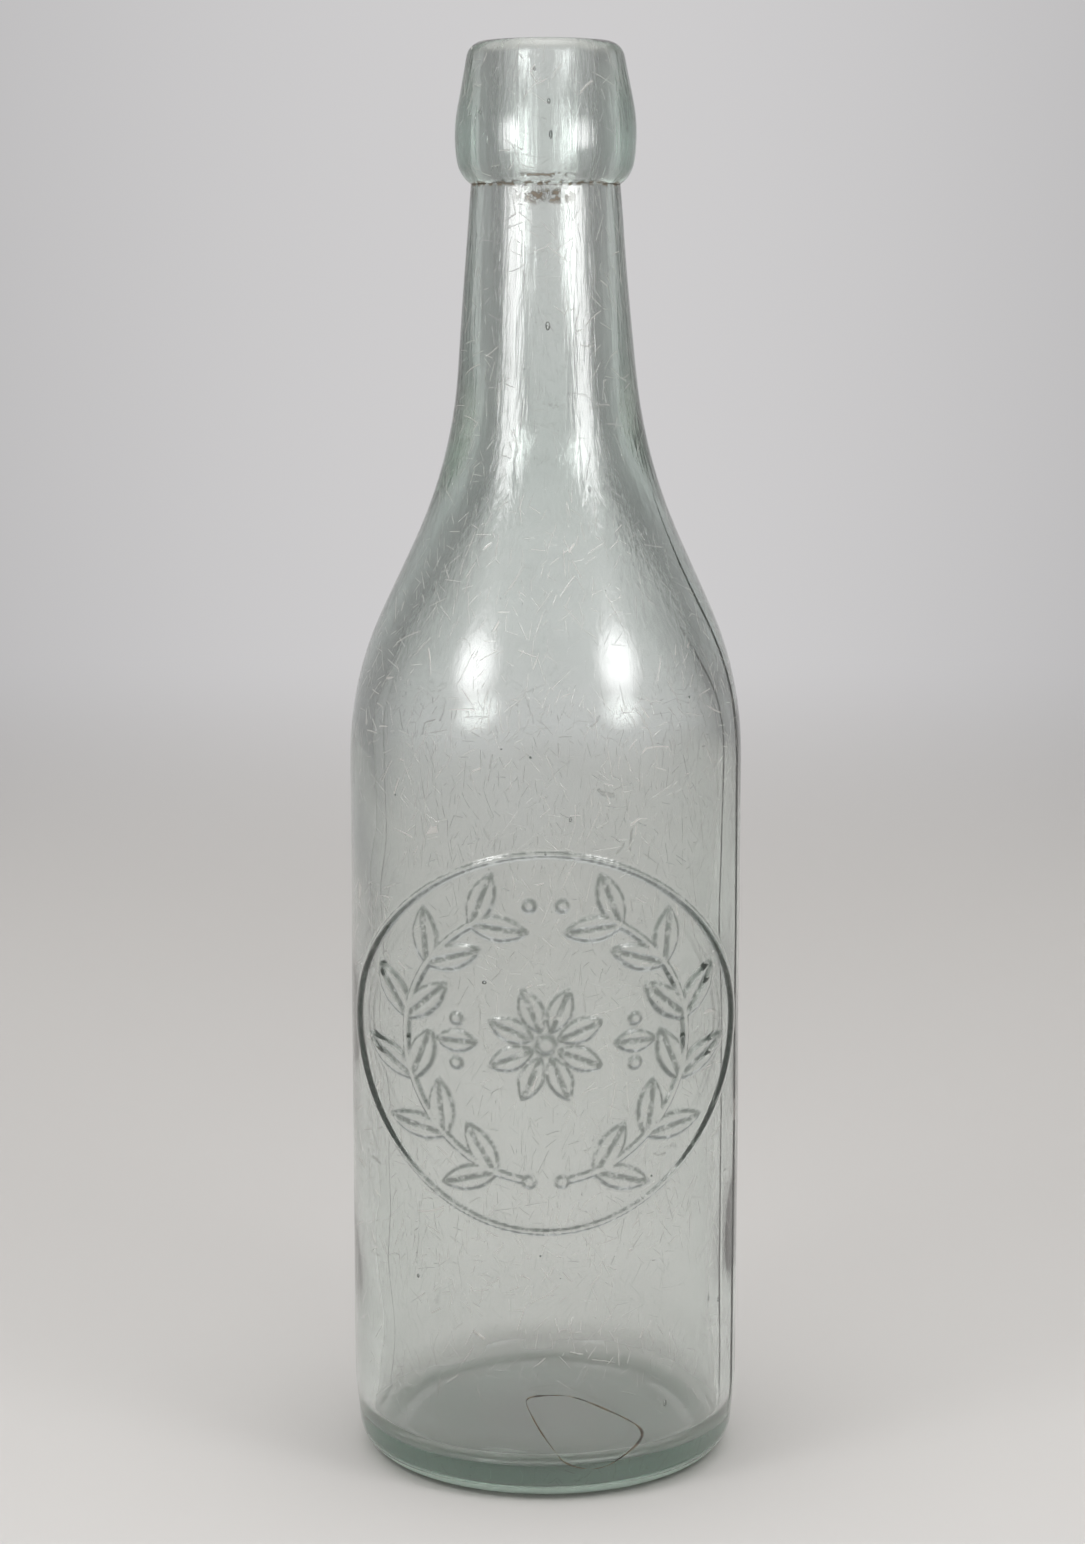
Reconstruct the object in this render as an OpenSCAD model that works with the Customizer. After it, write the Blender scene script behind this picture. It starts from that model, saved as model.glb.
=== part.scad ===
// Glass soda bottle: a blown body and neck, and a heavy lip applied to the neck's end.
// The origin is the centre of the base, on the surface that the bottle stands on. +Z is up.
// The slug plate, the round panel for the embossing, faces -Y.

/* [Body] */
// Outside diameter of the body
body_d = 65; // [60:0.5:75]
// Height of the shoulder corner, where the lines of body and shoulder cross
shoulder_z = 131; // [120:1:145]
// Rounding of the shoulder corner
shoulder_round = 58; // [20:1:70]
// How far the base's edge is drawn in from the body
heel_in = 1.4; // [0.4:0.1:3]
// Height where the body starts to draw in
heel_z = 12; // [9:0.5:20]
// Rounding there
heel_side_round = 25; // [5:1:40]
// Rounding of the base's edge
heel_round = 5.5; // [2:0.5:8]

/* [Neck] */
// Height of the neck's foot, where the lines of shoulder and neck cross
neck_foot_z = 167; // [158:0.5:180]
// Diameter where the lines of shoulder and neck cross
neck_foot_d = 31.8; // [28:0.2:38]
// Rounding between shoulder and neck
neck_round = 82; // [20:1:90]
// Height of the crease under the lip, where the neck ends outside
neck_top_z = 211.4; // [205:0.2:225]
// Diameter of the neck at that crease
neck_top_d = 24.2; // [22:0.2:26]
// How much higher the neck's end is at the bore than at the crease
seat_rise = 2; // [0.2:0.1:3]

/* [Lip] */
// Height of the lip, from the crease to the mouth
lip_h = 22.8; // [20:0.2:30]
// Diameter at the lip's lower edge
lip_foot_d = 27.6; // [27:0.2:29]
// Height of the lip's lower edge above the crease
lip_foot_h = 1.2; // [0.6:0.1:3]
// Diameter where the lines of the lip's belly cross
lip_belly_d = 30; // [29:0.2:34]
// Height of the belly above the crease
lip_belly_h = 8.7; // [6:0.1:12]
// Rounding of the belly
lip_belly_round = 38; // [10:1:45]
// Diameter of the lip at the mouth
lip_top_d = 24.8; // [24:0.2:28]
// Rounding of the lip's upper edge
lip_edge_round = 3.1; // [0.5:0.1:3.2]
// Bore of the lip, which a cork or stopper fills
mouth_bore_d = 16; // [15.4:0.2:17]
// Rounding of the bore's upper edge
mouth_round = 1.2; // [0.3:0.1:1.4]
// Height of the slope at the foot of that bore, where it narrows to the neck's
bore_slope_h = 0.5; // [0.2:0.1:2]

/* [Glass] */
// Wall of the body
body_wall = 3.9; // [2:0.1:5]
// Wall at the neck's foot, between the crossings of the outer and inner lines
neck_foot_wall = 7.4; // [4:0.1:8]
// Bore of the neck just under the lip
neck_bore_d = 15; // [12:0.2:15]
// How far the inner shoulder corner is below the outer one
inner_shoulder_drop = 3.7; // [0:0.1:6]
// Rounding inside, in the shoulder
inner_shoulder_round = 30; // [10:1:50]
// Rounding inside, at the neck's foot
inner_neck_round = 40; // [10:1:60]
// Height where the inner lines of floor and wall cross
floor_h = 4.6; // [3:0.1:10]
// Rounding inside, between floor and wall
inner_heel_round = 9; // [3:0.5:10]
// Diameter of the floor's dome, over the push-up
floor_dome_d = 34; // [20:1:35]
// Slope of the floor round its dome, in degrees
floor_slope = 6; // [1:0.5:10]
// Diameter of the push-up, the hollow under the base
push_up_d = 42; // [25:1:44]
// Slope of the push-up at its edge, in degrees
push_up_slope = 14; // [3:1:25]
// Rounding of that edge
push_up_round = 3; // [0.5:0.5:5]

/* [Mould marks] */
// How far inside the body's edge the ring round the slug plate stays, seen from the front
plate_margin = 1.8; // [1.4:0.1:10]
// Height of the plate's centre
plate_z = 76.6; // [60:0.1:85]
// Width of the ring's ridge
ring_w = 0.5; // [0.3:0.1:1.6]
// How far the ring stands proud of the body
ring_h = 0.5; // [0.2:0.05:0.8]
// Turn of the two mould seams about the axis, from the X axis
seam_turn = -15; // [-25:1:25]
// Width of a seam
seam_w = 0.5; // [0.3:0.1:1]
// How far a seam stands proud
seam_h = 0.2; // [0.1:0.05:0.4]
// Height where the seams fade out, below the neck that was heated again for the lip
seam_top_z = 158; // [135:1:170]

/* [Hidden] */
$fn = 160;

AQUA = [0.62, 0.80, 0.74];
PALE_AQUA = [0.70, 0.84, 0.79];
// Segments in each rounded corner and in each dome
ARC_STEPS = 10;
// The most of a line that the roundings at its two ends take
LINE_SHARE = 0.96;
// How deep the ring and the seams are rooted in the wall
MARK_ROOT = 1;

body_r = body_d / 2;
inner_r = body_r - body_wall;
mouth_z = neck_top_z + lip_h;
seat_z = neck_top_z + seat_rise;
plate_d = body_d - 2 * plate_margin;
// Foot and rim of the push-up and of the floor's dome: radius and height
push_up_foot = [push_up_d / 2, 0];
floor_foot = [inner_r, floor_h];
push_up_rim = dome_rim(push_up_foot, push_up_d / 2 - push_up_round, push_up_slope);
floor_rim = dome_rim(floor_foot, floor_dome_d / 2, floor_slope);

// A corner is [radius, height, rounding]
function place(corner) = [corner[0], corner[1]];
function unit(v) = v / norm(v);
function angle(u, v) = acos(max(-1, min(1, unit(u) * unit(v))));
function backwards(points) = [for (i = [len(points) - 1:-1:0]) points[i]];

// Half of the angle inside corner i
function half_angle(corners, i) =
    angle(place(corners[i - 1]) - place(corners[i]), place(corners[i + 1]) - place(corners[i])) / 2;

// How far from corner i its rounding would start. The two ends of an outline stay sharp.
function wanted_reach(corners, i) =
    i == 0 || i == len(corners) - 1 || corners[i][2] == 0
        ? 0
        : corners[i][2] / tan(half_angle(corners, i));

// How much of the reach that they want the roundings at both ends of the line from i to i + 1 get
function line_room(corners, i) =
    LINE_SHARE * norm(place(corners[i + 1]) - place(corners[i]))
        / max(0.001, wanted_reach(corners, i) + wanted_reach(corners, i + 1));

// The arc at corner i, which touches the lines to both of its neighbours
function corner_arc(corners, i) =
    let (p = place(corners[i]),
         u = unit(place(corners[i - 1]) - p),
         v = unit(place(corners[i + 1]) - p),
         half = half_angle(corners, i),
         reach = wanted_reach(corners, i) * min(1, line_room(corners, i - 1), line_room(corners, i)),
         centre = p + unit(u + v) * reach / cos(half),
         from = p + u * reach - centre,
         to = p + v * reach - centre,
         turn = sign(cross(from, to)) * angle(from, to))
    [for (k = [0:ARC_STEPS])
        let (t = turn * k / ARC_STEPS)
        centre + [from[0] * cos(t) - from[1] * sin(t), from[0] * sin(t) + from[1] * cos(t)]];

// The outline through a list of corners
function outline(corners) = [
    for (i = [0:len(corners) - 1])
        each (wanted_reach(corners, i) == 0 ? [place(corners[i])] : corner_arc(corners, i))];

// The rim of a dome, at radius r on the slope that rises from a foot towards the axis
function dome_rim(foot, r, slope) = [r, foot[1] + (foot[0] - r) * tan(slope)];

// The dome's arc, which goes on from that slope at the rim to the crown on the axis
function dome(rim, slope) =
    let (ball_r = rim[0] / sin(slope))
    [for (k = [0:ARC_STEPS])
        let (t = slope * (1 - k / ARC_STEPS))
        [ball_r * sin(t), rim[1] + ball_r * (cos(t) - cos(slope))]];

// Outside of body and neck, from the push-up's rim to the crease under the lip, grown by some radius
function outer_corners(grown = 0) = [
    concat(push_up_rim, 0),
    concat(push_up_foot, push_up_round),
    [body_r - heel_in + grown, 0, heel_round],
    [body_r + grown, heel_z, heel_side_round],
    [body_r + grown, shoulder_z, shoulder_round],
    [neck_foot_d / 2 + grown, neck_foot_z, neck_round],
    [neck_top_d / 2 + grown, neck_top_z, 0]];

// Inside, from the neck's end at the bore to the rim of the floor's dome
inner_corners = [
    [neck_bore_d / 2, seat_z, 0],
    [neck_foot_d / 2 - neck_foot_wall, neck_foot_z, inner_neck_round],
    [inner_r, shoulder_z - inner_shoulder_drop, inner_shoulder_round],
    concat(floor_foot, inner_heel_round),
    concat(floor_rim, 0)];

// The lip, from the crease up and over the mouth, and down its bore to the neck's
lip_corners = [
    [neck_top_d / 2, neck_top_z, 0],
    [lip_foot_d / 2, neck_top_z + lip_foot_h, lip_foot_h],
    [lip_belly_d / 2, neck_top_z + lip_belly_h, lip_belly_round],
    [lip_top_d / 2, mouth_z, lip_edge_round],
    [mouth_bore_d / 2, mouth_z, mouth_round],
    [mouth_bore_d / 2, seat_z + bore_slope_h, 0],
    [neck_bore_d / 2, seat_z, 0]];

// The ridge round the slug plate. Its sides run along Y, the way the mould opened.
module plate_ring() {
    intersection() {
        translate([0, 0, plate_z])
            rotate([90, 0, 0])
                linear_extrude(height = body_d)
                    difference() {
                        circle(d = plate_d + ring_w);
                        circle(d = plate_d - ring_w);
                    }
        difference() {
            cylinder(h = shoulder_z, r = body_r + ring_h);
            cylinder(h = shoulder_z, r = body_r - MARK_ROOT);
        }
    }
}

// The two seams of the mould, opposite each other, from the heel up to the shoulder
module mould_seams() {
    for (side = [0, 180])
        rotate([0, 0, seam_turn + side])
            intersection() {
                rotate([90, 0, 0])
                    linear_extrude(height = seam_w, center = true)
                        polygon(concat(
                            outline(outer_corners(seam_h)),
                            backwards(outline(outer_corners(-MARK_ROOT)))));
                translate([0, -seam_w, heel_round])
                    cube([body_d, 2 * seam_w, seam_top_z - heel_round]);
            }
}

module blown_body() {
    color(AQUA)
        union() {
            rotate_extrude()
                polygon(concat(
                    backwards(dome(push_up_rim, push_up_slope)),
                    outline(outer_corners()),
                    outline(inner_corners),
                    dome(floor_rim, floor_slope)));
            plate_ring();
            mould_seams();
        }
}

module applied_lip() {
    color(PALE_AQUA)
        rotate_extrude()
            polygon(outline(lip_corners));
}

blown_body();
applied_lip();
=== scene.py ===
import bpy
import numpy as np
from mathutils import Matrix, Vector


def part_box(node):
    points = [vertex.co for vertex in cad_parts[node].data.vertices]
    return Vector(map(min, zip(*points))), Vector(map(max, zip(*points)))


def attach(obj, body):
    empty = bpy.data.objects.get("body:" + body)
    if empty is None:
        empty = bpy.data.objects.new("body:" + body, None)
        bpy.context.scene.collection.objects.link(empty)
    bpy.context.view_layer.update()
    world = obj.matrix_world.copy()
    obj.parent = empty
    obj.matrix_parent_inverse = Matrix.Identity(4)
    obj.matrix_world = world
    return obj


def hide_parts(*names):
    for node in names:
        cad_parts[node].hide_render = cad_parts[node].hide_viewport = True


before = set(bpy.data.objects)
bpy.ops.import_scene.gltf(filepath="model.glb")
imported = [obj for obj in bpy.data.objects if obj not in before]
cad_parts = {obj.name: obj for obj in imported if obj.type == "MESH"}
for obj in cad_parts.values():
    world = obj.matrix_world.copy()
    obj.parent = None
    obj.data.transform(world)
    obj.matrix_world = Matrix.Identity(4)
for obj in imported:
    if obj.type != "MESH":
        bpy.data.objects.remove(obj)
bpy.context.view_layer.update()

# ---- Camera ----
# A long lens at the height of the neck, half a metre in front of the bottle and tilted down at it.
MM = 0.001
camera_place = np.array([-0.5, -543.4, 201.5])
camera_dip = 9.02
focal_length_px = 3310.7
image_height_px = 1544
sensor_mm = 36.0

camera_data = bpy.data.cameras.new("camera")
camera_data.sensor_width = sensor_mm
camera_data.lens = focal_length_px / image_height_px * sensor_mm
camera = bpy.data.objects.new("camera", camera_data)
camera.location = camera_place * MM
camera.rotation_euler = (np.radians(90 - camera_dip), 0, 0)
bpy.context.scene.collection.objects.link(camera)
bpy.context.scene.camera = camera
bpy.context.scene.view_settings.view_transform = "Standard"

# Light has to pass many walls of glass before it may be given up
glass_bounces = 24
bpy.context.scene.cycles.max_bounces = glass_bounces
bpy.context.scene.cycles.transmission_bounces = glass_bounces

# ---- Studio ----
# Pale paper: a round floor that curves up into a wall on every side. Whatever looks straight at its far
# parts, or through glass, sees them glow, with dark boards to both sides and above that draw the edges
# of clear glass.
floor_radius = 1500
floor_rings = [0.01, 150, 400, 800]
cove_radius = 400
cove_rows = 17
wall_height = 1300
studio_columns = 96
floor_colour = (0.60, 0.585, 0.57, 1)
wall_tint = np.array([1.0, 0.985, 0.995])
# How bright the wall glows, by its turn in degrees from straight behind the bottle
wall_glow = {180: 0.55, 120: 0.48, 95: 0.40, 75: 0.28, 50: 0.27, 30: 0.33, 18: 0.45, 10: 0.56, 0: 0.62}
# The distance over which the glow sets in, and the height over which it falls to a share, in metres
glow_starts = (0.40, 1.10)
wall_darkens = (0.42, 0.80)
wall_top_share = 0.85


class Wire:
    """A socket in a tree of nodes. Sums, products and comparisons of wires and numbers add Math nodes."""

    def __init__(self, tree, socket=None):
        self.tree = tree
        self.socket = socket

    def add(self, kind, settings=None, sockets=None, output=0):
        """Adds a node: first its settings, where stops are a ramp's, then each socket's value or link."""
        node = self.tree.nodes.new(kind)
        for name, value in (settings or {}).items():
            if name == "stops":
                for place, _ in value[1:-1]:
                    node.color_ramp.elements.new(place)
                for element, (place, colour) in zip(node.color_ramp.elements, value):
                    element.position = place
                    element.color = colour
            else:
                setattr(node, name, value)
        for name, value in (sockets or {}).items():
            if isinstance(value, Wire):
                self.tree.links.new(value.socket, node.inputs[name])
            else:
                node.inputs[name].default_value = value
        return Wire(self.tree, node.outputs[output] if node.outputs else None)

    def output(self, name):
        """Another output of the node that this wire comes from."""
        return Wire(self.tree, self.socket.node.outputs[name])

    def math(self, operation, *others):
        return self.add("ShaderNodeMath", {"operation": operation}, dict(enumerate((self, *others))))

    def vector(self, operation, other=(0, 0, 0), output="Vector"):
        return self.add("ShaderNodeVectorMath", {"operation": operation}, {0: self, 1: other}, output)

    def __add__(self, other):
        return self.math("ADD", other)

    def __sub__(self, other):
        return self.math("SUBTRACT", other)

    def __rsub__(self, other):
        return (self * -1).math("ADD", other)

    def __mul__(self, other):
        return self.math("MULTIPLY", other)

    def __gt__(self, other):
        return self.math("GREATER_THAN", other)

    def __lt__(self, other):
        return self.math("LESS_THAN", other)

    __radd__ = __add__
    __rmul__ = __mul__

    def smooth(self, low, high):
        """0 at low, 1 at high, and a smooth step between."""
        return self.add("ShaderNodeMapRange", {"interpolation_type": "SMOOTHSTEP"},
                        {"Value": self, "From Min": low, "From Max": high})

    def mix(self, first, second):
        """A colour between two, by this factor."""
        return self.add("ShaderNodeMix", {"data_type": "RGBA"},
                        {"Factor": self, "A": first, "B": second}, output=2)


def new_material(name):
    """An empty material and the start of its node tree."""
    material = bpy.data.materials.new(name)
    material.use_nodes = True
    material.node_tree.nodes.clear()
    return material, Wire(material.node_tree)


def ring(radius, height, angle):
    """Points at a radius and a height, turned by an angle from the front, -Y, towards +X."""
    return np.stack(np.broadcast_arrays(radius * np.sin(angle), -radius * np.cos(angle), height), axis=-1)


def ring_faces(first, rows, columns):
    """The quads of a stack of closed rings, whose points are numbered from first."""
    corner = first + np.arange((rows - 1) * columns).reshape(rows - 1, columns)
    beside = np.roll(corner, -1, axis=1)
    return np.stack([corner, beside, beside + columns, corner + columns], axis=-1).reshape(-1, 4)


def new_piece(name, points, faces, material):
    """A smooth mesh from points in millimetres and arrays of faces."""
    mesh = bpy.data.meshes.new(name)
    mesh.from_pydata((points * MM).tolist(), [], [face for part in faces for face in part.tolist()])
    mesh.shade_smooth()
    mesh.materials.append(material)
    piece = bpy.data.objects.new(name, mesh)
    bpy.context.scene.collection.objects.link(piece)
    return piece


cove_turn = np.linspace(0, np.pi / 2, cove_rows)
studio_radius = np.concatenate([
    floor_rings,
    floor_radius - cove_radius + cove_radius * np.sin(cove_turn),
    [floor_radius]])
studio_height = np.concatenate([
    np.zeros(len(floor_rings)),
    cove_radius * (1 - np.cos(cove_turn)),
    [wall_height]])
studio_turn = np.arange(studio_columns) * 2 * np.pi / studio_columns
studio_points = ring(studio_radius[:, None], studio_height[:, None], studio_turn[None, ::-1])

studio_material, wires = new_material("studio paper")
place = wires.add("ShaderNodeTexCoord", output="Object")
height = wires.add("ShaderNodeSeparateXYZ", sockets={0: place}, output="Z")
heading = place.vector("MULTIPLY", (1, 1, 0)).vector("NORMALIZE")
backward = wires.add("ShaderNodeSeparateXYZ", sockets={0: heading}, output="Y")
boards = wires.add("ShaderNodeValToRGB", {"stops": [
    ((1 + np.cos(np.radians(turn))) / 2, (*(glow * wall_tint), 1)) for turn, glow in wall_glow.items()]},
    {0: (backward + 1) * 0.5})
look = wires.add("ShaderNodeLightPath", output="Is Camera Ray")
seen = look + look.output("Is Glossy Ray") + look.output("Is Transmission Ray")
far = place.vector("LENGTH", output="Value").smooth(*glow_starts)
paper = wires.add("ShaderNodeBsdfPrincipled", sockets={
    "Base Color": floor_colour, "Roughness": 0.9, "Specular IOR Level": 0.2})
glow = wires.add("ShaderNodeEmission", sockets={
    "Color": boards, "Strength": 1 - (1 - wall_top_share) * height.smooth(*wall_darkens)})
surface = wires.add("ShaderNodeMixShader", sockets={0: seen.math("MINIMUM", 1) * far, 1: paper, 2: glow})
wires.add("ShaderNodeOutputMaterial", sockets={"Surface": surface})

studio = new_piece("studio", studio_points.reshape(-1, 3),
                   [ring_faces(0, len(studio_radius), studio_columns)], studio_material)

# ---- Light ----
# Two small soft lamps close in front, to the left and the right, a broad soft light overhead, and a white
# sky.
lamp_turns = {"right lamp": 45, "left lamp": -45}
lamp_distance = 200
lamp_height = 224
lamp_size = (0.130, 0.118)
lamp_glow = 8.5
lamp_aim = np.array([0, 0, 130])
# From where a lamp is dark to where it is full, in its own widths from its middle
lamp_edge = (0.5, 0.12)
# Watts that a square metre of lamp takes to have a radiance of 1
lamp_watts = 4
# A hair off the axis, so that the lamp's heading is never in doubt
overhead_place = np.array([0, 0.1, 1250])
overhead_size = (1.3, 1.3)
overhead_glow = 1.9
sky_glow = 0.9


def soft_light(name, place, size, glow):
    """A rectangular lamp at a place in millimetres, aimed at the bottle. glow is its radiance in the
    middle, where 1 is white. It fades in a smooth step of the distance from the middle to nothing at the
    edge."""
    lamp = bpy.data.lights.new(name, "AREA")
    lamp.shape = "RECTANGLE"
    lamp.size, lamp.size_y = size
    lamp.energy = glow * lamp_watts * size[0] * size[1]
    lamp.use_nodes = True
    wires = Wire(lamp.node_tree)
    spot = wires.add("ShaderNodeNewGeometry", output="Parametric").vector("SUBTRACT", (0.5, 0.5, 0))
    fade = spot.vector("LENGTH", output="Value").smooth(*lamp_edge)
    wires.tree.links.new(fade.socket, lamp.node_tree.nodes["Emission"].inputs["Strength"])
    holder = bpy.data.objects.new(name, lamp)
    holder.visible_camera = False
    aside, forth, up = lamp_aim - place
    holder.location = place * MM
    holder.rotation_euler = (np.arctan2(np.hypot(aside, forth), -up), 0, np.arctan2(-aside, forth))
    bpy.context.scene.collection.objects.link(holder)


for name, turn in lamp_turns.items():
    soft_light(name, ring(lamp_distance, lamp_height, np.radians(turn)), lamp_size, lamp_glow)
soft_light("overhead", overhead_place, overhead_size, overhead_glow)

world = bpy.data.worlds.new("sky")
world.use_nodes = True
world.node_tree.nodes["Background"].inputs["Color"].default_value = (1, 1, 1, 1)
world.node_tree.nodes["Background"].inputs["Strength"].default_value = sky_glow
bpy.context.scene.world = world

# ---- Blown body ----
# Body, shoulder and neck, blown in one piece in a two-part mould, of pale aqua glass. The mould left two
# seams and the raised ring and ornament of the slug plate. The wall is thick and uneven, with a few seeds
# of air.
_, body_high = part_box("blown_body")
lip_low, lip_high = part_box("applied_lip")
seat_height = body_high[2] / MM
crease_height = lip_low[2] / MM
mouth_height = lip_high[2] / MM
body_radius = 32.5
shoulder_height = 131
shoulder_rounding = 58
heel_radius = 31.1
heel_height = 12
heel_side_rounding = 25
heel_rounding = 5.5
neck_foot_radius = 15.9
neck_foot_height = 167
neck_rounding = 82
neck_top_radius = 12.1
neck_bore_radius = 7.5
body_wall = 3.9
neck_foot_wall = 7.4
inner_shoulder_drop = 3.7
inner_shoulder_rounding = 30
inner_neck_rounding = 40
floor_height = 4.6
inner_heel_rounding = 4.5
floor_dome_radius = 17
floor_slope = 6
push_up_radius = 21
push_up_rim_radius = 18
push_up_slope = 14
push_up_rounding = 3
end_rounding = 0.3

# How finely outlines are drawn and cut into rows. The bend is read over a window of so many path steps.
dome_points = 41
arc_points = 25
path_step = 0.05
bend_window = 31
least_bend = 1e-6
rows_per_radius = 12
angle_marks = 20001


def dome_rim(foot, radius, slope):
    """The point at some radius on the slope, in degrees, that rises from a foot towards the axis."""
    return radius, foot[1] + (foot[0] - radius) * np.tan(np.radians(slope))


def dome(rim, slope):
    """The arc of a dome, which goes on from that slope at the rim to the crown on the axis. Its radius is
    the rim's over the sine of the slope."""
    turn = np.linspace(np.radians(slope), 0, dome_points)
    ball = rim[0] / np.sin(turn[0])
    return np.stack([ball * np.sin(turn), rim[1] + ball * (np.cos(turn) - np.cos(turn[0]))], axis=-1)


def rounded(corners, closed=False):
    """The outline through corners of radius, height and rounding: straight lines, and at each corner an
    arc that touches both of its lines. Corners with no rounding stay sharp, as do the ends."""
    corners = np.array(corners, float)
    stretches = []
    for i, (radius, height, rounding) in enumerate(corners):
        here = np.array([radius, height])
        if rounding == 0:
            stretches.append(here[None])
            continue
        back = corners[i - 1, :2] - here
        on = corners[(i + 1) % len(corners), :2] - here
        back /= np.hypot(*back)
        on /= np.hypot(*on)
        half = np.arccos(back @ on) / 2
        share = np.linspace(-1, 1, arc_points)[:, None] * (np.pi / 2 - half)
        middle = (back + on) / np.hypot(*(back + on))
        across = (on - back) / np.hypot(*(on - back))
        centre = here + middle * rounding / np.sin(half)
        stretches.append(centre - middle * rounding * np.cos(share) + across * rounding * np.sin(share))
    if closed:
        stretches.append(stretches[0][:1])
    return np.concatenate(stretches)


def along(path):
    """How far along a path each of its points is."""
    return np.concatenate([[0], np.cumsum(np.hypot(*np.diff(path, axis=0).T))])


def rows_on(path, finest, coarsest, limit):
    """Points along a path, closer where it curves: a share of the curve's radius apart, between finest and
    coarsest, and no further than limit says for each point."""
    length = along(path)
    marks = np.arange(0, length[-1], path_step)
    dense = np.stack([np.interp(marks, length, path[:, k]) for k in (0, 1)], axis=-1)
    heading = np.unwrap(np.arctan2(*np.diff(dense, axis=0, append=2 * dense[-1:] - dense[-2:-1]).T))
    window = np.hanning(bend_window) / np.hanning(bend_window).sum()
    bend = np.convolve(np.abs(np.gradient(heading, path_step)), window, mode="same")
    step = np.clip(1 / (rows_per_radius * np.maximum(bend, least_bend)), finest, coarsest)
    count = np.cumsum(path_step / np.minimum(step, limit(*dense.T)))
    picked = np.interp(np.linspace(count[0], count[-1], int(count[-1])), count, marks)
    picked[0], picked[-1] = 0, length[-1]
    return np.stack([np.interp(picked, length, path[:, k]) for k in (0, 1)], axis=-1)


def facing(rows):
    """The direction away from the glass at each row of an outline that has the glass on its left: the
    outline's own direction, turned a quarter to the right."""
    slope = np.gradient(rows, axis=0)
    slope /= np.hypot(slope[:, 0], slope[:, 1])[:, None]
    return np.stack([slope[:, 1], -slope[:, 0]], axis=-1)


def moved(rows, normals, proud):
    """Radius and height of the rows of an outline, moved along their normals by proud at each column."""
    return rows[:, :1] + proud * normals[:, :1], rows[:, 1:] + proud * normals[:, 1:]


def columns_at(pitch):
    """Angles round the axis, from -180 to 180 degrees, at a pitch that depends on the angle: the number of
    columns up to an angle is the sum of 1 over the pitch."""
    fine = np.linspace(-np.pi, np.pi, angle_marks)
    count = np.concatenate([[0], np.cumsum(np.diff(fine) / pitch((fine[1:] + fine[:-1]) / 2))])
    return np.interp(np.arange(int(count[-1])) * count[-1] / int(count[-1]), count, fine)


def strip_faces(low, low_angles, high, high_angles):
    """Triangles between two rings with different columns: each edge goes to the point across that is
    nearest to its middle."""
    low_middle = low_angles + np.diff(low_angles, append=low_angles[0] + 2 * np.pi) / 2
    high_middle = high_angles + np.diff(high_angles, append=high_angles[0] + 2 * np.pi) / 2
    over = high[np.searchsorted(high_middle, low_middle) % len(high)]
    under = low[np.searchsorted(low_middle, high_middle, side="right") % len(low)]
    return np.concatenate([np.stack([low, np.roll(low, -1), over], axis=-1),
                           np.stack([np.roll(high, -1), high, under], axis=-1)])


def band_faces(bands):
    """Faces of stacked bands of rings. A band is its angles and its number of rows. The bands follow each
    other, and a strip of triangles joins each to the next."""
    faces = []
    first = 0
    last_ring = None
    for angles, rows in bands:
        if last_ring is not None:
            faces.append(strip_faces(*last_ring, first + np.arange(len(angles)), angles))
        faces.append(ring_faces(first, rows, len(angles)))
        first += rows * len(angles)
        last_ring = (first - len(angles) + np.arange(len(angles)), angles)
    return faces


# The slug plate: a thin ring on the front, and in it a wreath of leaves round a rosette. A leaf's size is
# half its length and half its width, and a place is how far from the centre it is.
plate_height = 76.6
plate_radius = 30.7
plate_margin = 1.5
plate_relief = 0.48
ring_width = 0.8
edge_softness = 0.13
midrib_width = 0.34
midrib_depth = 0.55
wreath_radius = 22.4
wreath_stations = 6
wreath_start = 21
wreath_step = 25.5
leaf_lean = np.radians(38)
leaf_place = 4.1
leaf_size = (4.9, 1.9)
stem_width = 1.1
stem_starts = (0.14, 0.18)
stem_stops = (2.62, 2.66)
lozenge_place = 14.2
lozenge_size = (3.4, 1.7)
lozenge_berry_rise = 3.6
stem_berry_place = 2.6
berry_radius = 1.0
petals = 8
petal_place = 5.9
petal_size = (3.9, 1.85)
heart_radius = 1.6

# The mould's two seams, which drift round the shoulder and fade out under the neck
seam_angles = (np.radians(75), np.radians(75) - np.pi)
seam_drift = np.radians(-9)
seam_drift_reach = np.radians(14)
seam_drift_heights = (128, 153)
seam_width = 0.5
seam_relief = 0.2
seam_rise_heights = (heel_rounding, heel_rounding + 3)
seam_fade_heights = (150, 165)

# Spacing of the mesh's columns and rows: fine in the slug plate, at the seams and at the lip's seat
coarse_pitch = 2.1
fine_pitch = 0.35
fine_half_angles = (np.radians(76), np.radians(76) + 0.1)
seam_pitch = 0.25
seam_pitch_reach = (0.4, 4)
seat_pitch = 0.22
seat_pitch_reach = 0.2
loose_pitch = 9
row_pitches = (0.2, 3.0)
inner_columns = 96


def smooth_step(value, low, high):
    """0 at low, 1 at high, and a smooth step between."""
    share = np.clip((value - low) / (high - low), 0, 1)
    return share * share * (3 - 2 * share)


def stroke(distance, width):
    """A raised stroke with a flat top and soft sides: e to the minus fourth power of the distance from its
    middle line over half its width."""
    return np.exp(-(2 * distance / width) ** 4)


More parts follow.
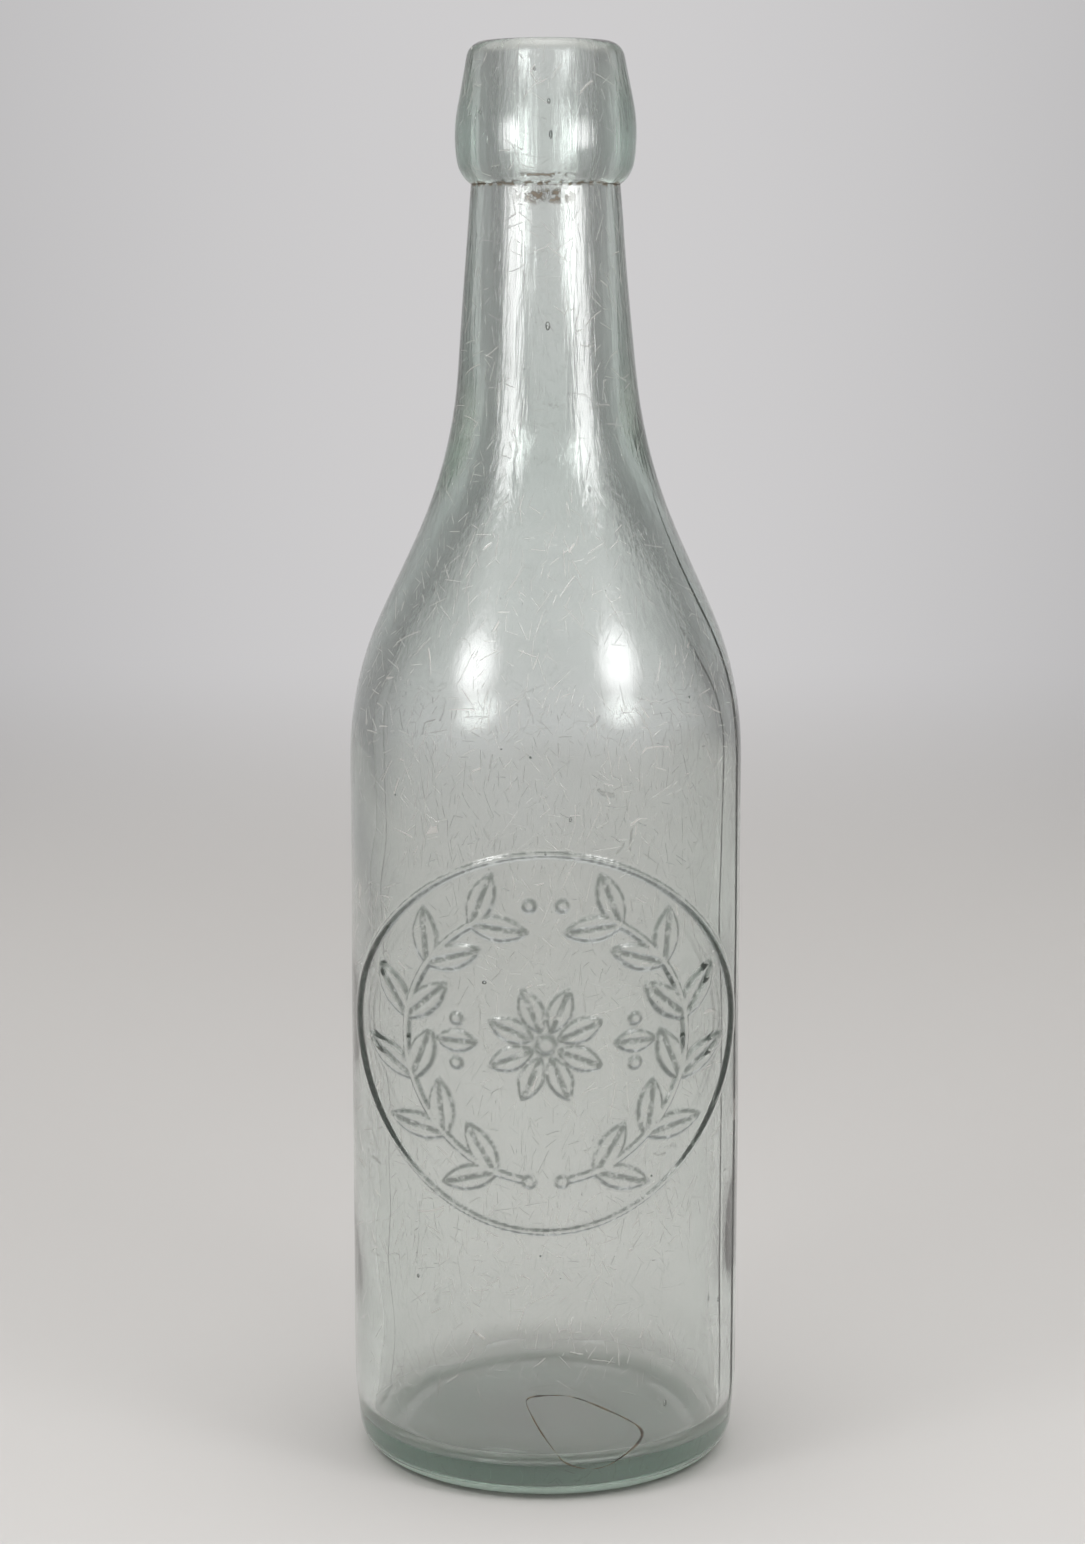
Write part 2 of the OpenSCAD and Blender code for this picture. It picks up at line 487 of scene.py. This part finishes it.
def leaf(x, z, centre_x, centre_z, turn, half_length, half_width):
    """A raised leaf with a grooved midrib. turn is its direction from +X, in radians. Its height is a
    steep step at the edge, where the width that a parabola gives at each point along it is used up."""
    forward = (x - centre_x) * np.cos(turn) + (z - centre_z) * np.sin(turn)
    aside = (z - centre_z) * np.cos(turn) - (x - centre_x) * np.sin(turn)
    edge = half_width * np.clip(1 - (forward / half_length) ** 2, -1, 1) - np.abs(aside)
    groove = midrib_depth * np.exp(-(aside / midrib_width) ** 2)
    return (1 - groove) / (1 + np.exp(-np.clip(edge / edge_softness, -30, 30)))


def berry(x, z, centre_x, centre_z, radius):
    """A raised round dot: e to the minus fourth power of the distance from its centre over its radius."""
    return np.exp(-(((x - centre_x) ** 2 + (z - centre_z) ** 2) / radius ** 2) ** 2)


def plate_ornament(x, z):
    """The relief inside the ring, from 0 to 1, as seen from the front with its centre at 0, 0: a wreath of
    two leafy branches, and a rosette of petals between two lozenges with dots. Where forms meet, the
    higher one counts."""
    forms = []
    for side in (-1, 1):
        for station in range(wreath_stations):
            climb = np.radians(wreath_start + wreath_step * station)
            tangent = np.arctan2(np.sin(climb), side * np.cos(climb))
            for turn in (tangent - leaf_lean, tangent + leaf_lean):
                leaf_x = side * wreath_radius * np.sin(climb) + leaf_place * np.cos(turn)
                leaf_z = leaf_place * np.sin(turn) - wreath_radius * np.cos(climb)
                forms.append(leaf(x, z, leaf_x, leaf_z, turn, *leaf_size))
        climb = np.arctan2(side * x, -z)
        forms.append(stroke(np.hypot(x, z) - wreath_radius, stem_width)
                     * smooth_step(climb, *stem_starts) * (1 - smooth_step(climb, *stem_stops)))
        forms.append(leaf(x, z, side * lozenge_place, 0, 0, *lozenge_size))
        for end in (-1, 1):
            forms.append(berry(x, z, side * lozenge_place, end * lozenge_berry_rise, berry_radius))
            forms.append(berry(x, z, side * stem_berry_place, end * wreath_radius, berry_radius))
    for petal in range(petals):
        turn = np.radians(360 * (petal + 0.5) / petals)
        forms.append(leaf(x, z, petal_place * np.cos(turn), petal_place * np.sin(turn), turn, *petal_size))
    forms.append(berry(x, z, 0, 0, heart_radius))
    return np.maximum.reduce(forms)


def ripples(angle, height, waves):
    """Slow unevenness of a glass surface: a sum of waves of times round, length, height and start."""
    return sum(tall * np.sin(turns * angle + 2 * np.pi * height / length + start)
               for turns, length, tall, start in waves)


# Unevenness of the walls, which starts and stops over a pair of heights, and the lean of the neck
outside_waves = [(2, 83, 0.035, 0.4), (3, -57, 0.025, 2.1), (1, 41, 0.02, 4.0), (5, -29, 0.01, 1.1)]
outside_sink = 0.09
outside_starts = (3, 9)
outside_stops = (200, 210)
inside_waves = [(1, 140, 0.30, 2.6), (2, -75, 0.16, 0.9), (3, 48, 0.10, 4.4), (5, -33, 0.05, 0.2),
                (7, 21, 0.03, 3.0)]
inside_starts = (floor_height + 1, 30)
inside_stops = (190, 209)
swirl_relief = 0.12
swirl_arms = 3
swirl_pace = 0.5
swirl_radius = 20
swirl_stops = (floor_height + 2, floor_height + 6)
lean_reach = 0.4
lean_height = 160
lean_length = 28
seat_tolerance = 0.06
seat_shares = (0.02, 0.98)
seed_rows = 9
seed_columns = 12


def seam_twist(angle, height):
    """How far the mould seams, and the columns beside them, turn as the shoulder rises: a bell curve of
    the angle from a seam, times a smooth step of the height."""
    near = sum(np.exp(-((angle - centre) / seam_drift_reach) ** 2) for centre in seam_angles)
    return seam_drift * near * smooth_step(height, *seam_drift_heights)


def plate_form(angle, height):
    """The relief of the slug plate, from 0 to 1, on the front of the body."""
    x = body_radius * np.sin(angle)
    z = height - plate_height
    plate = stroke(np.hypot(x, z) - plate_radius, ring_width) + plate_ornament(x, z)
    return plate * (np.abs(angle) < np.pi / 2)


def outside_relief(angle, height):
    """What stands proud of the turned outside: ring, ornament and seams. A seam is a bell curve across."""
    seam = sum(np.exp(-(2 * (angle - centre) * body_radius / seam_width) ** 2) for centre in seam_angles)
    seam = seam * smooth_step(height, *seam_rise_heights) * (1 - smooth_step(height, *seam_fade_heights))
    return plate_relief * plate_form(angle, height) + seam_relief * seam


def leaning(points):
    """The points, with the bottle's middle line drawn a little to +X in a soft bulge round one height."""
    shift = lean_reach * np.exp(-((points[:, 2] - lean_height) / lean_length) ** 2)
    return points + np.stack([shift, 0 * shift, 0 * shift], axis=-1)


def pitch_coarse(angle):
    """Columns for the plain parts, closer at the two seams."""
    aside = np.min([np.abs(angle - centre) for centre in seam_angles], axis=0) * body_radius
    return (seam_pitch + (coarse_pitch - seam_pitch) * smooth_step(aside, *seam_pitch_reach)) / body_radius


def pitch_fine(angle):
    """Columns for the height of the slug plate, close over the whole front."""
    side = smooth_step(np.abs(angle), *fine_half_angles)
    return np.minimum(pitch_coarse(angle), (fine_pitch + (coarse_pitch - fine_pitch) * side) / body_radius)


def body_limit(radius, height):
    """The row spacing that the slug plate and the joint to the lip need."""
    spacing = np.where(np.abs(height - plate_height) < plate_radius + plate_margin, fine_pitch, loose_pitch)
    return np.where(height > crease_height - seat_pitch_reach, seat_pitch, spacing)


def outside_points(rows, normals, angles):
    """Rings of the outside: the turned rows, moved along their normals by relief and unevenness."""
    height = rows[:, 1:]
    turn = angles[None] + seam_twist(angles[None], height)
    proud = outside_relief(angles[None], height) + ripples(turn, height, outside_waves) - outside_sink
    proud = proud * smooth_step(height, *outside_starts) * (1 - smooth_step(height, *outside_stops))
    return ring(*moved(rows, normals, proud), turn)


def inside_points(rows, normals, angles):
    """Rings of the inside: the turned rows, moved along their normals by slow waves, and the floor by a
    swirl, which is a sine of radius and angle and grows with the radius."""
    radius, height = rows[:, :1], rows[:, 1:]
    fade = smooth_step(height, *inside_starts) * (1 - smooth_step(height, *inside_stops))
    floor = (1 - smooth_step(height, *swirl_stops)) * radius / swirl_radius
    proud = ripples(angles[None], height, inside_waves) * fade
    proud = proud + swirl_relief * np.sin(radius * swirl_pace + swirl_arms * angles[None]) * floor
    return ring(*moved(rows, normals, proud), angles[None])


def on_seat(points):
    """Which points are on the cone between crease and bore, where the two pieces are fused: 1 or 0."""
    radius = np.hypot(points[:, 0], points[:, 1])
    share = (radius - neck_bore_radius) / (neck_top_radius - neck_bore_radius)
    cone = seat_height + (crease_height - seat_height) * share
    touching = np.abs(points[:, 2] - cone) < seat_tolerance
    return (touching & (share > seat_shares[0]) & (share < seat_shares[1])).astype(np.float32)


def seeds(places):
    """Bubbles of air in the glass: ellipsoids whose faces look inwards, away from the glass. A place is an
    angle in degrees, a radius, a height, a half width and a half height."""
    turn, radius, height, half_width, half_height = np.array(places, float).T[:, :, None, None]
    middle = ring(radius, height, np.radians(turn))
    up = np.linspace(-np.pi / 2, np.pi / 2, seed_rows)[None, :, None]
    around = np.linspace(0, 2 * np.pi, seed_columns + 1)[None, None, :-1]
    shell = np.stack(np.broadcast_arrays(half_width * np.cos(up) * np.cos(around),
                                         half_width * np.cos(up) * np.sin(around),
                                         half_height * np.sin(up)), axis=-1)
    rows, columns = shell.shape[1] - 2, shell.shape[2]
    body_part = (middle + shell[:, 1:-1]).reshape(len(places), -1, 3)
    poles = (middle[:, 0] + shell[:, [0, -1], 0]).reshape(len(places), 2, 3)
    points = np.concatenate([body_part, poles], axis=1)
    wall = ring_faces(0, rows, columns)[:, ::-1]
    low, high = np.arange(columns), (rows - 1) * columns + np.arange(columns)
    caps = [np.stack([low, np.roll(low, -1), np.full_like(low, rows * columns)], axis=-1),
            np.stack([np.roll(high, -1), high, np.full_like(high, rows * columns + 1)], axis=-1)]
    first = np.arange(len(places))[:, None, None] * points.shape[1]
    return points.reshape(-1, 3), [(first + part).reshape(-1, part.shape[1]) for part in (wall, *caps)]


push_up_rim = dome_rim((push_up_radius, 0), push_up_rim_radius, push_up_slope)
floor_rim = dome_rim((body_radius - body_wall, floor_height), floor_dome_radius, floor_slope)
seat_middle = ((neck_top_radius + neck_bore_radius) / 2, (crease_height + seat_height) / 2)
outside_path = np.concatenate([
    dome(push_up_rim, push_up_slope)[::-1],
    rounded([(*push_up_rim, 0), (push_up_radius, 0, push_up_rounding), (heel_radius, 0, heel_rounding),
             (body_radius, heel_height, heel_side_rounding),
             (body_radius, shoulder_height, shoulder_rounding),
             (neck_foot_radius, neck_foot_height, neck_rounding),
             (neck_top_radius, crease_height, end_rounding), (*seat_middle, 0)])[1:]])
inside_path = np.concatenate([
    rounded([(*seat_middle, 0), (neck_bore_radius, seat_height, end_rounding),
             (neck_foot_radius - neck_foot_wall, neck_foot_height, inner_neck_rounding),
             (body_radius - body_wall, shoulder_height - inner_shoulder_drop, inner_shoulder_rounding),
             (body_radius - body_wall, floor_height, inner_heel_rounding), (*floor_rim, 0)])[:-1],
    dome(floor_rim, floor_slope)])

outside_rows = rows_on(outside_path, *row_pitches, body_limit)
inside_rows = rows_on(inside_path, *row_pitches, body_limit)
outside_normals = facing(outside_rows)
inside_normals = facing(inside_rows)
even_columns = columns_at(lambda angle: np.full_like(angle, 2 * np.pi / inner_columns))
plain_columns = columns_at(pitch_coarse)
plate_columns = columns_at(pitch_fine)

# The outside comes in three stretches, with close columns only at the height of the slug plate
in_plate = (body_limit(*outside_rows.T) == fine_pitch) & (outside_rows[:, 0] > push_up_radius)
plate_start = np.argmax(in_plate)
plate_end = plate_start + np.argmin(in_plate[plate_start:])
body_parts = [
    (outside_points, outside_rows[stretch], outside_normals[stretch], columns)
    for stretch, columns in ((slice(1, plate_start), plain_columns),
                             (slice(plate_start, plate_end), plate_columns),
                             (slice(plate_end, None), plain_columns))]
body_parts.append((inside_points, inside_rows[1:-1], inside_normals[1:-1], even_columns))
body_points = [shape(*rest).reshape(-1, 3) for shape, *rest in body_parts]
body_faces = band_faces([(angles, len(rows)) for _, rows, _, angles in body_parts])
body_count = sum(len(points) for points in body_points)
outside_count = body_count - len(body_points[-1])

# The crowns of the push-up and of the floor's dome close the shell on the axis
foot = np.arange(len(plain_columns))
crown = body_count - len(even_columns) + np.arange(len(even_columns))
body_points.append(np.array([[0, 0, outside_path[0, 1]], [0, 0, inside_path[-1, 1]]]))
body_faces += [np.stack([np.full_like(foot, body_count), np.roll(foot, -1), foot], axis=-1),
               np.stack([crown, np.roll(crown, -1), np.full_like(crown, body_count + 1)], axis=-1)]

body_seeds = [
    (0.9, 12.4, 189, 0.40, 0.75), (-18, 31, 86.2, 0.40, 0.30), (64, 31, 28.8, 0.40, 0.40),
    (38, 31, 14.8, 0.35, 0.60), (-41, 30.8, 36, 0.25, 0.35), (24, 15.6, 163, 0.22, 0.5),
    (-33, 13.6, 181, 0.2, 0.45), (118, 31, 61, 0.4, 0.6), (171, 30.8, 103, 0.3, 0.5),
    (-140, 31, 47, 0.4, 0.5), (-96, 30.6, 92, 0.3, 0.4), (146, 13.2, 183, 0.25, 0.6),
    (-158, 24, 143, 0.3, 0.4), (85, 30.9, 22, 0.3, 0.3)]
seed_points, seed_faces = seeds(body_seeds)
body_points.append(seed_points)
body_faces += [part + body_count + 2 for part in seed_faces]

glass_colour = (0.30, 0.64, 0.47, 1)
glass_depth = 20.0
glass_ior = 1.52
coat_weight = 0.5
coat_roughness = 0.33

# Wear. A pair of heights or reaches is in metres, from where something is 0 to where it is 1, and a pair
# of patches does the same with the value of a noise.
neck_streaks = (1000, 1000, 36)
neck_streak_heights = (0.125, 0.165)
neck_streak_relief = 0.12
# Cells to a metre, width in metres, and the share of the cells with a scratch
coarse_scratches = (260, 0.00007, 0.7)
fine_scratches = (520, 0.000055, 0.7)
scratch_slant = (1, 1, 0.7)
scratch_core = 0.3
scratch_depth = 0.025
scratch_patches = (0.34, 0.5)
foot_scratches = 0.3
foot_heights = (0.012, 0.03)
# A speck's edge is in widths of its cell
speck_edge = (0.07, 0.035)
speck_share = 0.86
speck_patches = (0.44, 0.52)
base_heights = (0.0035, 0.0015)
base_roughness = 0.4
# The worn base's pale aqua skin is partly wear and partly painted light that brightens the heel band
base_colour = (0.84, 1.0, 0.91, 1)
floor_heights = (0.012, 0.007)
floor_roughness = 0.15

# How much of the pale film each kind of wear lays on the glass. On the relief it is partly wear and partly a
# painted highlight.
haze_colour = (0.67, 0.63, 0.60, 1)
haze_patches = (0.3, 0.8)
haze_film = 0.03
scratch_film = 0.36
base_film = 0.5
floor_film = 0.28
relief_wear_and_highlight = 0.04
body_film = 0.025

# Dirt in the crease all round, and on the front in a patch below it and in a ragged line above it
dirt_colour = (0.165, 0.130, 0.090, 1)
dirt_strength = 0.85
crease_reach = (0.0007, 0.0001)
crease_patches = (0.46, 0.58)
front_reach = (0.0065, 0.0015)
below_drop = 2
below_reach = (0.0018, 0.0003)
below_patches = (0.44, 0.56)
above_rise = 2
above_reach = (0.0004, 0.0001)
above_wander = 0.0012
above_patches = (0.42, 0.52)
# Dark grime in the specks, and painted shade of the same colour on the sides of the relief
grime_and_shade_colour = (0.07, 0.09, 0.075, 1)
relief_edge_shade = 0.62
edge_patches = (0.2, 0.6)
speck_grime = 0.8
stain_shows = (0, 0.2)


def scratches(wires, place, cells, width, share):
    """Fine straight scratches and dark specks, 1 on them and 0 between. Every cell of a Voronoi pattern has
    a plane through its point at a random slant. The surface is scratched where the plane cuts it, in a
    share of the cells. In a few others a small ball round the point is a speck."""
    cell = wires.add("ShaderNodeTexVoronoi", sockets={"Vector": place, "Scale": cells}, output="Position")
    random = cell.output("Color")
    reach = place.vector("MULTIPLY", (cells,) * 3)
    reach = reach.vector("SUBTRACT", cell.vector("MULTIPLY", (cells,) * 3))
    slant = random.vector("SUBTRACT", (0.5, 0.5, 0.5)).vector("MULTIPLY", scratch_slant).vector("NORMALIZE")
    aside = reach.vector("DOT_PRODUCT", slant, "Value").math("ABSOLUTE")
    chosen = wires.add("ShaderNodeSeparateXYZ", sockets={0: random}, output="Z")
    speck = reach.vector("LENGTH", output="Value").smooth(*speck_edge) * (chosen > speck_share)
    line = 1 - aside.smooth(width * cells * scratch_core, width * cells)
    return line * (chosen < share), speck


def near_height(height, middle, reach):
    """1 at a height in millimetres and 0 away from it: a smooth step of the distance between two reaches."""
    return (height - middle * MM).math("ABSOLUTE").smooth(*reach)


def glass_material(name, film_share):
    """Old aqua glass: clear and tinted by its depth, scratched outside, with a soft worn skin over its
    gloss and a thin pale film, and passed straight through where two pieces are fused. The base is ground
    dull by use, and its pale aqua skin is also painted light in the heel band. On the slug plate the pale
    film is partly a painted highlight, and the sides of the relief get painted shade. film_share is what
    the film covers of glass that has no other wear."""
    material, wires = new_material(name)
    fused = wires.add("ShaderNodeAttribute", {"attribute_name": "fused"}, output="Fac") > 0.5
    outside = wires.add("ShaderNodeAttribute", {"attribute_name": "outside"}, output="Fac")
    relief = wires.add("ShaderNodeAttribute", {"attribute_name": "relief"}, output="Fac")
    place = wires.add("ShaderNodeTexCoord", output="Object")
    side = wires.add("ShaderNodeSeparateXYZ", sockets={0: place}, output="X")
    height = side.output("Z")

    cloud = wires.add("ShaderNodeTexNoise", sockets={"Vector": place, "Scale": 45, "Detail": 2})
    grain = wires.add("ShaderNodeTexNoise", sockets={"Vector": place, "Scale": 900, "Detail": 2})
    drawn = wires.add("ShaderNodeTexNoise", sockets={
        "Vector": place.vector("MULTIPLY", neck_streaks), "Scale": 1, "Detail": 3})
    coarse, coarse_specks = scratches(wires, place, *coarse_scratches)
    fine, fine_specks = scratches(wires, place, *fine_scratches)
    scratch = (coarse + fine).math("MINIMUM", 1) * cloud.smooth(*scratch_patches) * outside
    scratch = scratch * (foot_scratches + (1 - foot_scratches) * height.smooth(*foot_heights))
    specks = coarse_specks.math("MAXIMUM", fine_specks) * cloud.smooth(*speck_patches) * outside
    bumps = drawn * height.smooth(*neck_streak_heights) * neck_streak_relief - scratch * scratch_depth

    # The base's pale aqua skin is ground-dull wear and also painted light in the heel band
    base = outside * height.smooth(*base_heights)
    floor = (1 - outside) * height.smooth(*floor_heights)
    film = cloud.smooth(*haze_patches) * haze_film + film_share + scratch * scratch_film
    # On the relief the pale film is partly wear and partly a painted highlight
    film = film + base * base_film + floor * floor_film + relief * relief_wear_and_highlight

    front = side.math("ABSOLUTE").smooth(*front_reach)
    wandering = height + grain * above_wander
    crease = near_height(height, crease_height, crease_reach) * outside
    below = near_height(height, crease_height - below_drop, below_reach) * outside * front
    above = near_height(wandering, crease_height + above_rise, above_reach) * outside * front
    dirt = crease * grain.smooth(*crease_patches)
    dirt = dirt.math("MAXIMUM", below * grain.smooth(*below_patches))
    dirt = dirt.math("MAXIMUM", above * grain.smooth(*above_patches)) * dirt_strength

    # Grime is in the specks. The same dark colour on the sides of the relief, most of it half way up, is
    # painted shade
    edge = relief * (1 - relief) * 4
    grime_and_relief_shade = (edge * grain.smooth(*edge_patches) * relief_edge_shade).math("MAXIMUM", specks * speck_grime)
    cover = film.math("MAXIMUM", dirt.math("MAXIMUM", grime_and_relief_shade))
    skin_colour = base.mix(haze_colour, base_colour)
    # The dark colour is grime in the specks and painted shade on the sides of the relief
    skin_colour = grime_and_relief_shade.smooth(*stain_shows).mix(skin_colour, grime_and_shade_colour)
    skin_colour = dirt.smooth(*stain_shows).mix(skin_colour, dirt_colour)

    glass = wires.add("ShaderNodeBsdfPrincipled", sockets={
        "Base Color": (1, 1, 1, 1), "Roughness": base * base_roughness + floor * floor_roughness,
        "IOR": glass_ior, "Transmission Weight": 1.0,
        "Coat Weight": coat_weight, "Coat Roughness": coat_roughness,
        "Normal": wires.add("ShaderNodeBump", sockets={"Height": bumps, "Distance": MM})})
    skin = wires.add("ShaderNodeBsdfPrincipled", sockets={"Base Color": skin_colour, "Roughness": 0.7})
    through = wires.add("ShaderNodeBsdfPrincipled", sockets={
        "Base Color": (1, 1, 1, 1), "Roughness": 0.0, "IOR": 1.0, "Transmission Weight": 1.0})
    worn = wires.add("ShaderNodeMixShader", sockets={0: cover, 1: glass, 2: skin})
    surface = wires.add("ShaderNodeMixShader", sockets={0: fused, 1: worn, 2: through})
    inside = wires.add("ShaderNodeVolumeAbsorption", sockets={"Color": glass_colour, "Density": glass_depth})
    wires.add("ShaderNodeOutputMaterial", sockets={"Surface": surface, "Volume": inside})
    return material


def mark(piece, name, share):
    """Gives each point of a piece a number that its material reads, which is 0 where share has run out."""
    values = np.zeros(len(piece.data.vertices), np.float32)
    values[:len(share)] = share
    piece.data.attributes.new(name, "FLOAT", "POINT").data.foreach_set("value", values)


body_points = np.concatenate(body_points)
body_glass = glass_material("body glass", body_film)
body = new_piece("blown_body_glass", leaning(body_points), body_faces, body_glass)
mark(body, "fused", on_seat(body_points))
# The first point after the rings is the push-up's crown, which is outside too
mark(body, "outside", np.append(np.arange(body_count) < outside_count, True))
mark(body, "relief", np.concatenate([
    plate_form(angles[None], rows[:, 1:]).ravel() for _, rows, _, angles in body_parts[:3]]))
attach(body, "root")
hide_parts("blown_body")

# ---- Crack ----
# A knock on the heel has left a curved crack in the glass, stained brown by dirt that has crept into it.
# Its places are angles from the front, in degrees, and heights.
crack_places = [(-5.3, 17.9), (0.4, 18.6), (9, 18), (21.2, 14.6), (29.4, 10.6), (23.8, 7.3), (14.9, 5.6),
                (7.4, 6.5), (3.6, 8.3), (-0.5, 11.7), (-4.2, 15.4)]
crack_depth = 0.5
crack_thickness = 0.10
crack_points = 160
crack_sides = 6
# Waves of its thickness: times along it, share and start
crack_waves = [(5, 0.5, 0), (17, 0.3, 1)]
# It is thicker at its right tip: at which angle, over how many degrees and by how much
tip_turn = 29
tip_spread = 1.6
tip_thickness = 0.22
heel_top = 30
heel_inset = 4
crack_patches = (0.4, 0.6)
crack_dark = (0.05, 0.035, 0.02, 1)
crack_brown = (0.24, 0.16, 0.08, 1)


def loop_through(places, count):
    """A smooth closed curve through places: its coordinates as sums of waves, from their Fourier terms."""
    waves = np.fft.rfft(places, axis=0)
    return np.fft.irfft(waves, count, axis=0) * count / len(places)


def loop_tube(path, thickness, sides):
    """A closed tube along a closed path. Each of its rings is a circle of the thickness there, square to
    the path, with one axis pointing away from the bottle's axis."""
    heading = np.roll(path, -1, axis=0) - np.roll(path, 1, axis=0)
    heading /= np.linalg.norm(heading, axis=1)[:, None]
    out = path * (1, 1, 0)
    out -= heading * np.sum(out * heading, axis=1)[:, None]
    out /= np.linalg.norm(out, axis=1)[:, None]
    across = np.cross(heading, out)
    turn = np.arange(sides)[None, :, None] * 2 * np.pi / sides
    circle = np.cos(turn) * out[:, None] + np.sin(turn) * across[:, None]
    points = path[:, None] + thickness[:, None, None] * circle
    corner = np.arange(len(path) * sides).reshape(len(path), sides)
    beside, on = np.roll(corner, -1, axis=1), np.roll(corner, -1, axis=0)
    faces = np.stack([corner, beside, np.roll(beside, -1, axis=0), on], axis=-1)
    return points.reshape(-1, 3), faces.reshape(-1, 4)


crack_turn, crack_height = loop_through(crack_places, crack_points).T
on_heel = (outside_rows[:, 1] < heel_top) & (outside_rows[:, 0] > heel_radius - heel_inset)
heel_outline = outside_rows[on_heel]
crack_radius = np.interp(crack_height, heel_outline[:, 1], heel_outline[:, 0]) - crack_depth
crack_path = ring(crack_radius, crack_height, np.radians(crack_turn))
crack_share = np.arange(crack_points) / crack_points * 2 * np.pi
crack_width = crack_thickness * sum(
    (tall * np.sin(turns * crack_share + start) for turns, tall, start in crack_waves), 1)
crack_width += tip_thickness * np.exp(-((crack_turn - tip_turn) / tip_spread) ** 2)

crack_material, wires = new_material("crack stain")
place = wires.add("ShaderNodeTexCoord", output="Object")
patches = wires.add("ShaderNodeTexNoise", sockets={"Vector": place, "Scale": 600, "Detail": 3})
stain = wires.add("ShaderNodeBsdfPrincipled", sockets={
    "Base Color": patches.smooth(*crack_patches).mix(crack_dark, crack_brown), "Roughness": 0.5})
wires.add("ShaderNodeOutputMaterial", sockets={"Surface": stain})

crack_tube, crack_faces = loop_tube(crack_path, crack_width, crack_sides)
crack = new_piece("heel_crack", crack_tube, [crack_faces], crack_material)
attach(crack, "root")

# ---- Applied lip ----
# A second gather of the same glass, laid round the neck's end and tooled to a heavy, tapering collar with
# a round bore. It is fused to the neck, so light passes the joint as if it weren't there.
lip_foot_radius = 13.75
lip_foot_rise = 1.2
lip_foot_rounding = 5.5
lip_cheek_radius = 14.46
lip_cheek_rise = 4
lip_cheek_rounding = 11.5
lip_belly_radius = 14.9
lip_belly_rise = 8.7
lip_belly_rounding = 28
lip_top_radius = 12.4
lip_edge_rounding = 3.1
mouth_bore_radius = 8
mouth_rounding = 1.2
bore_slope_height = 0.5
seat_gap = 0.02
seat_side_reach = 0.1
lip_columns = 192
lip_row_pitches = (0.12, 0.9)
lip_waves = [(1, 60, 0.04, 1.0), (2, -31, 0.04, 0.3), (3, 17, 0.025, 2.0), (5, -12, 0.012, 5.0)]
lip_wave_heights = (crease_height + 2.2, crease_height + 6)
lip_sink = 0.12
lip_sink_heights = (crease_height + 9, mouth_height - 3)
mouth_worn_depth = 0.6
lip_film = 0.02


def lip_limit(radius, height):
    """The row spacing that the joint to the neck needs."""
    at_seat = (height < seat_height + seat_pitch_reach) & (radius < neck_top_radius + seat_side_reach)
    return np.where(at_seat, seat_pitch, loose_pitch)


lip_path = rounded([
    (neck_bore_radius, seat_height + seat_gap, end_rounding),
    (neck_top_radius, crease_height + seat_gap, end_rounding),
    (lip_foot_radius, crease_height + lip_foot_rise, lip_foot_rounding),
    (lip_cheek_radius, crease_height + lip_cheek_rise, lip_cheek_rounding),
    (lip_belly_radius, crease_height + lip_belly_rise, lip_belly_rounding),
    (lip_top_radius, mouth_height, lip_edge_rounding),
    (mouth_bore_radius, mouth_height, mouth_rounding),
    (mouth_bore_radius, seat_height + bore_slope_height, end_rounding)], closed=True)
lip_rows = rows_on(lip_path, *lip_row_pitches, lip_limit)[:-1]
lip_angles = columns_at(lambda angle: np.full_like(angle, 2 * np.pi / lip_columns))
lip_proud = (ripples(lip_angles[None], lip_rows[:, 1:], lip_waves)
             * smooth_step(lip_rows[:, 1:], *lip_wave_heights)
             - lip_sink * smooth_step(lip_rows[:, 1:], *lip_sink_heights))
lip_points = ring(*moved(lip_rows, facing(lip_rows), lip_proud), lip_angles).reshape(-1, 3)
lip_count = len(lip_points)
first_ring = np.arange(len(lip_angles))
last_ring = lip_count - len(lip_angles) + first_ring
lip_faces = [ring_faces(0, len(lip_rows), len(lip_angles)),
             strip_faces(last_ring, lip_angles, first_ring, lip_angles)]
beyond_bore = np.hypot(lip_points[:, 0], lip_points[:, 1]) > (mouth_bore_radius + lip_top_radius) / 2
lip_outside = beyond_bore | (lip_points[:, 2] > mouth_height - mouth_worn_depth)

lip_seeds = [
    (-59, 13.4, 222.3, 0.35, 0.45), (-48, 13.6, 222.5, 0.3, 0.4), (2.1, 13.2, 224, 0.28, 0.45),
    (3.3, 13.2, 218.9, 0.3, 0.7), (-8, 12.6, 229, 0.2, 0.4), (150, 13, 221, 0.3, 0.6),
    (-130, 12.6, 225, 0.3, 0.4)]
lip_seed_points, lip_seed_faces = seeds(lip_seeds)
lip_points = np.concatenate([lip_points, lip_seed_points])
lip_faces += [part + lip_count for part in lip_seed_faces]

lip = new_piece("applied_lip_glass", leaning(lip_points), lip_faces, glass_material("lip glass", lip_film))
mark(lip, "fused", on_seat(lip_points))
mark(lip, "outside", lip_outside)
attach(lip, "root")
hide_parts("applied_lip")
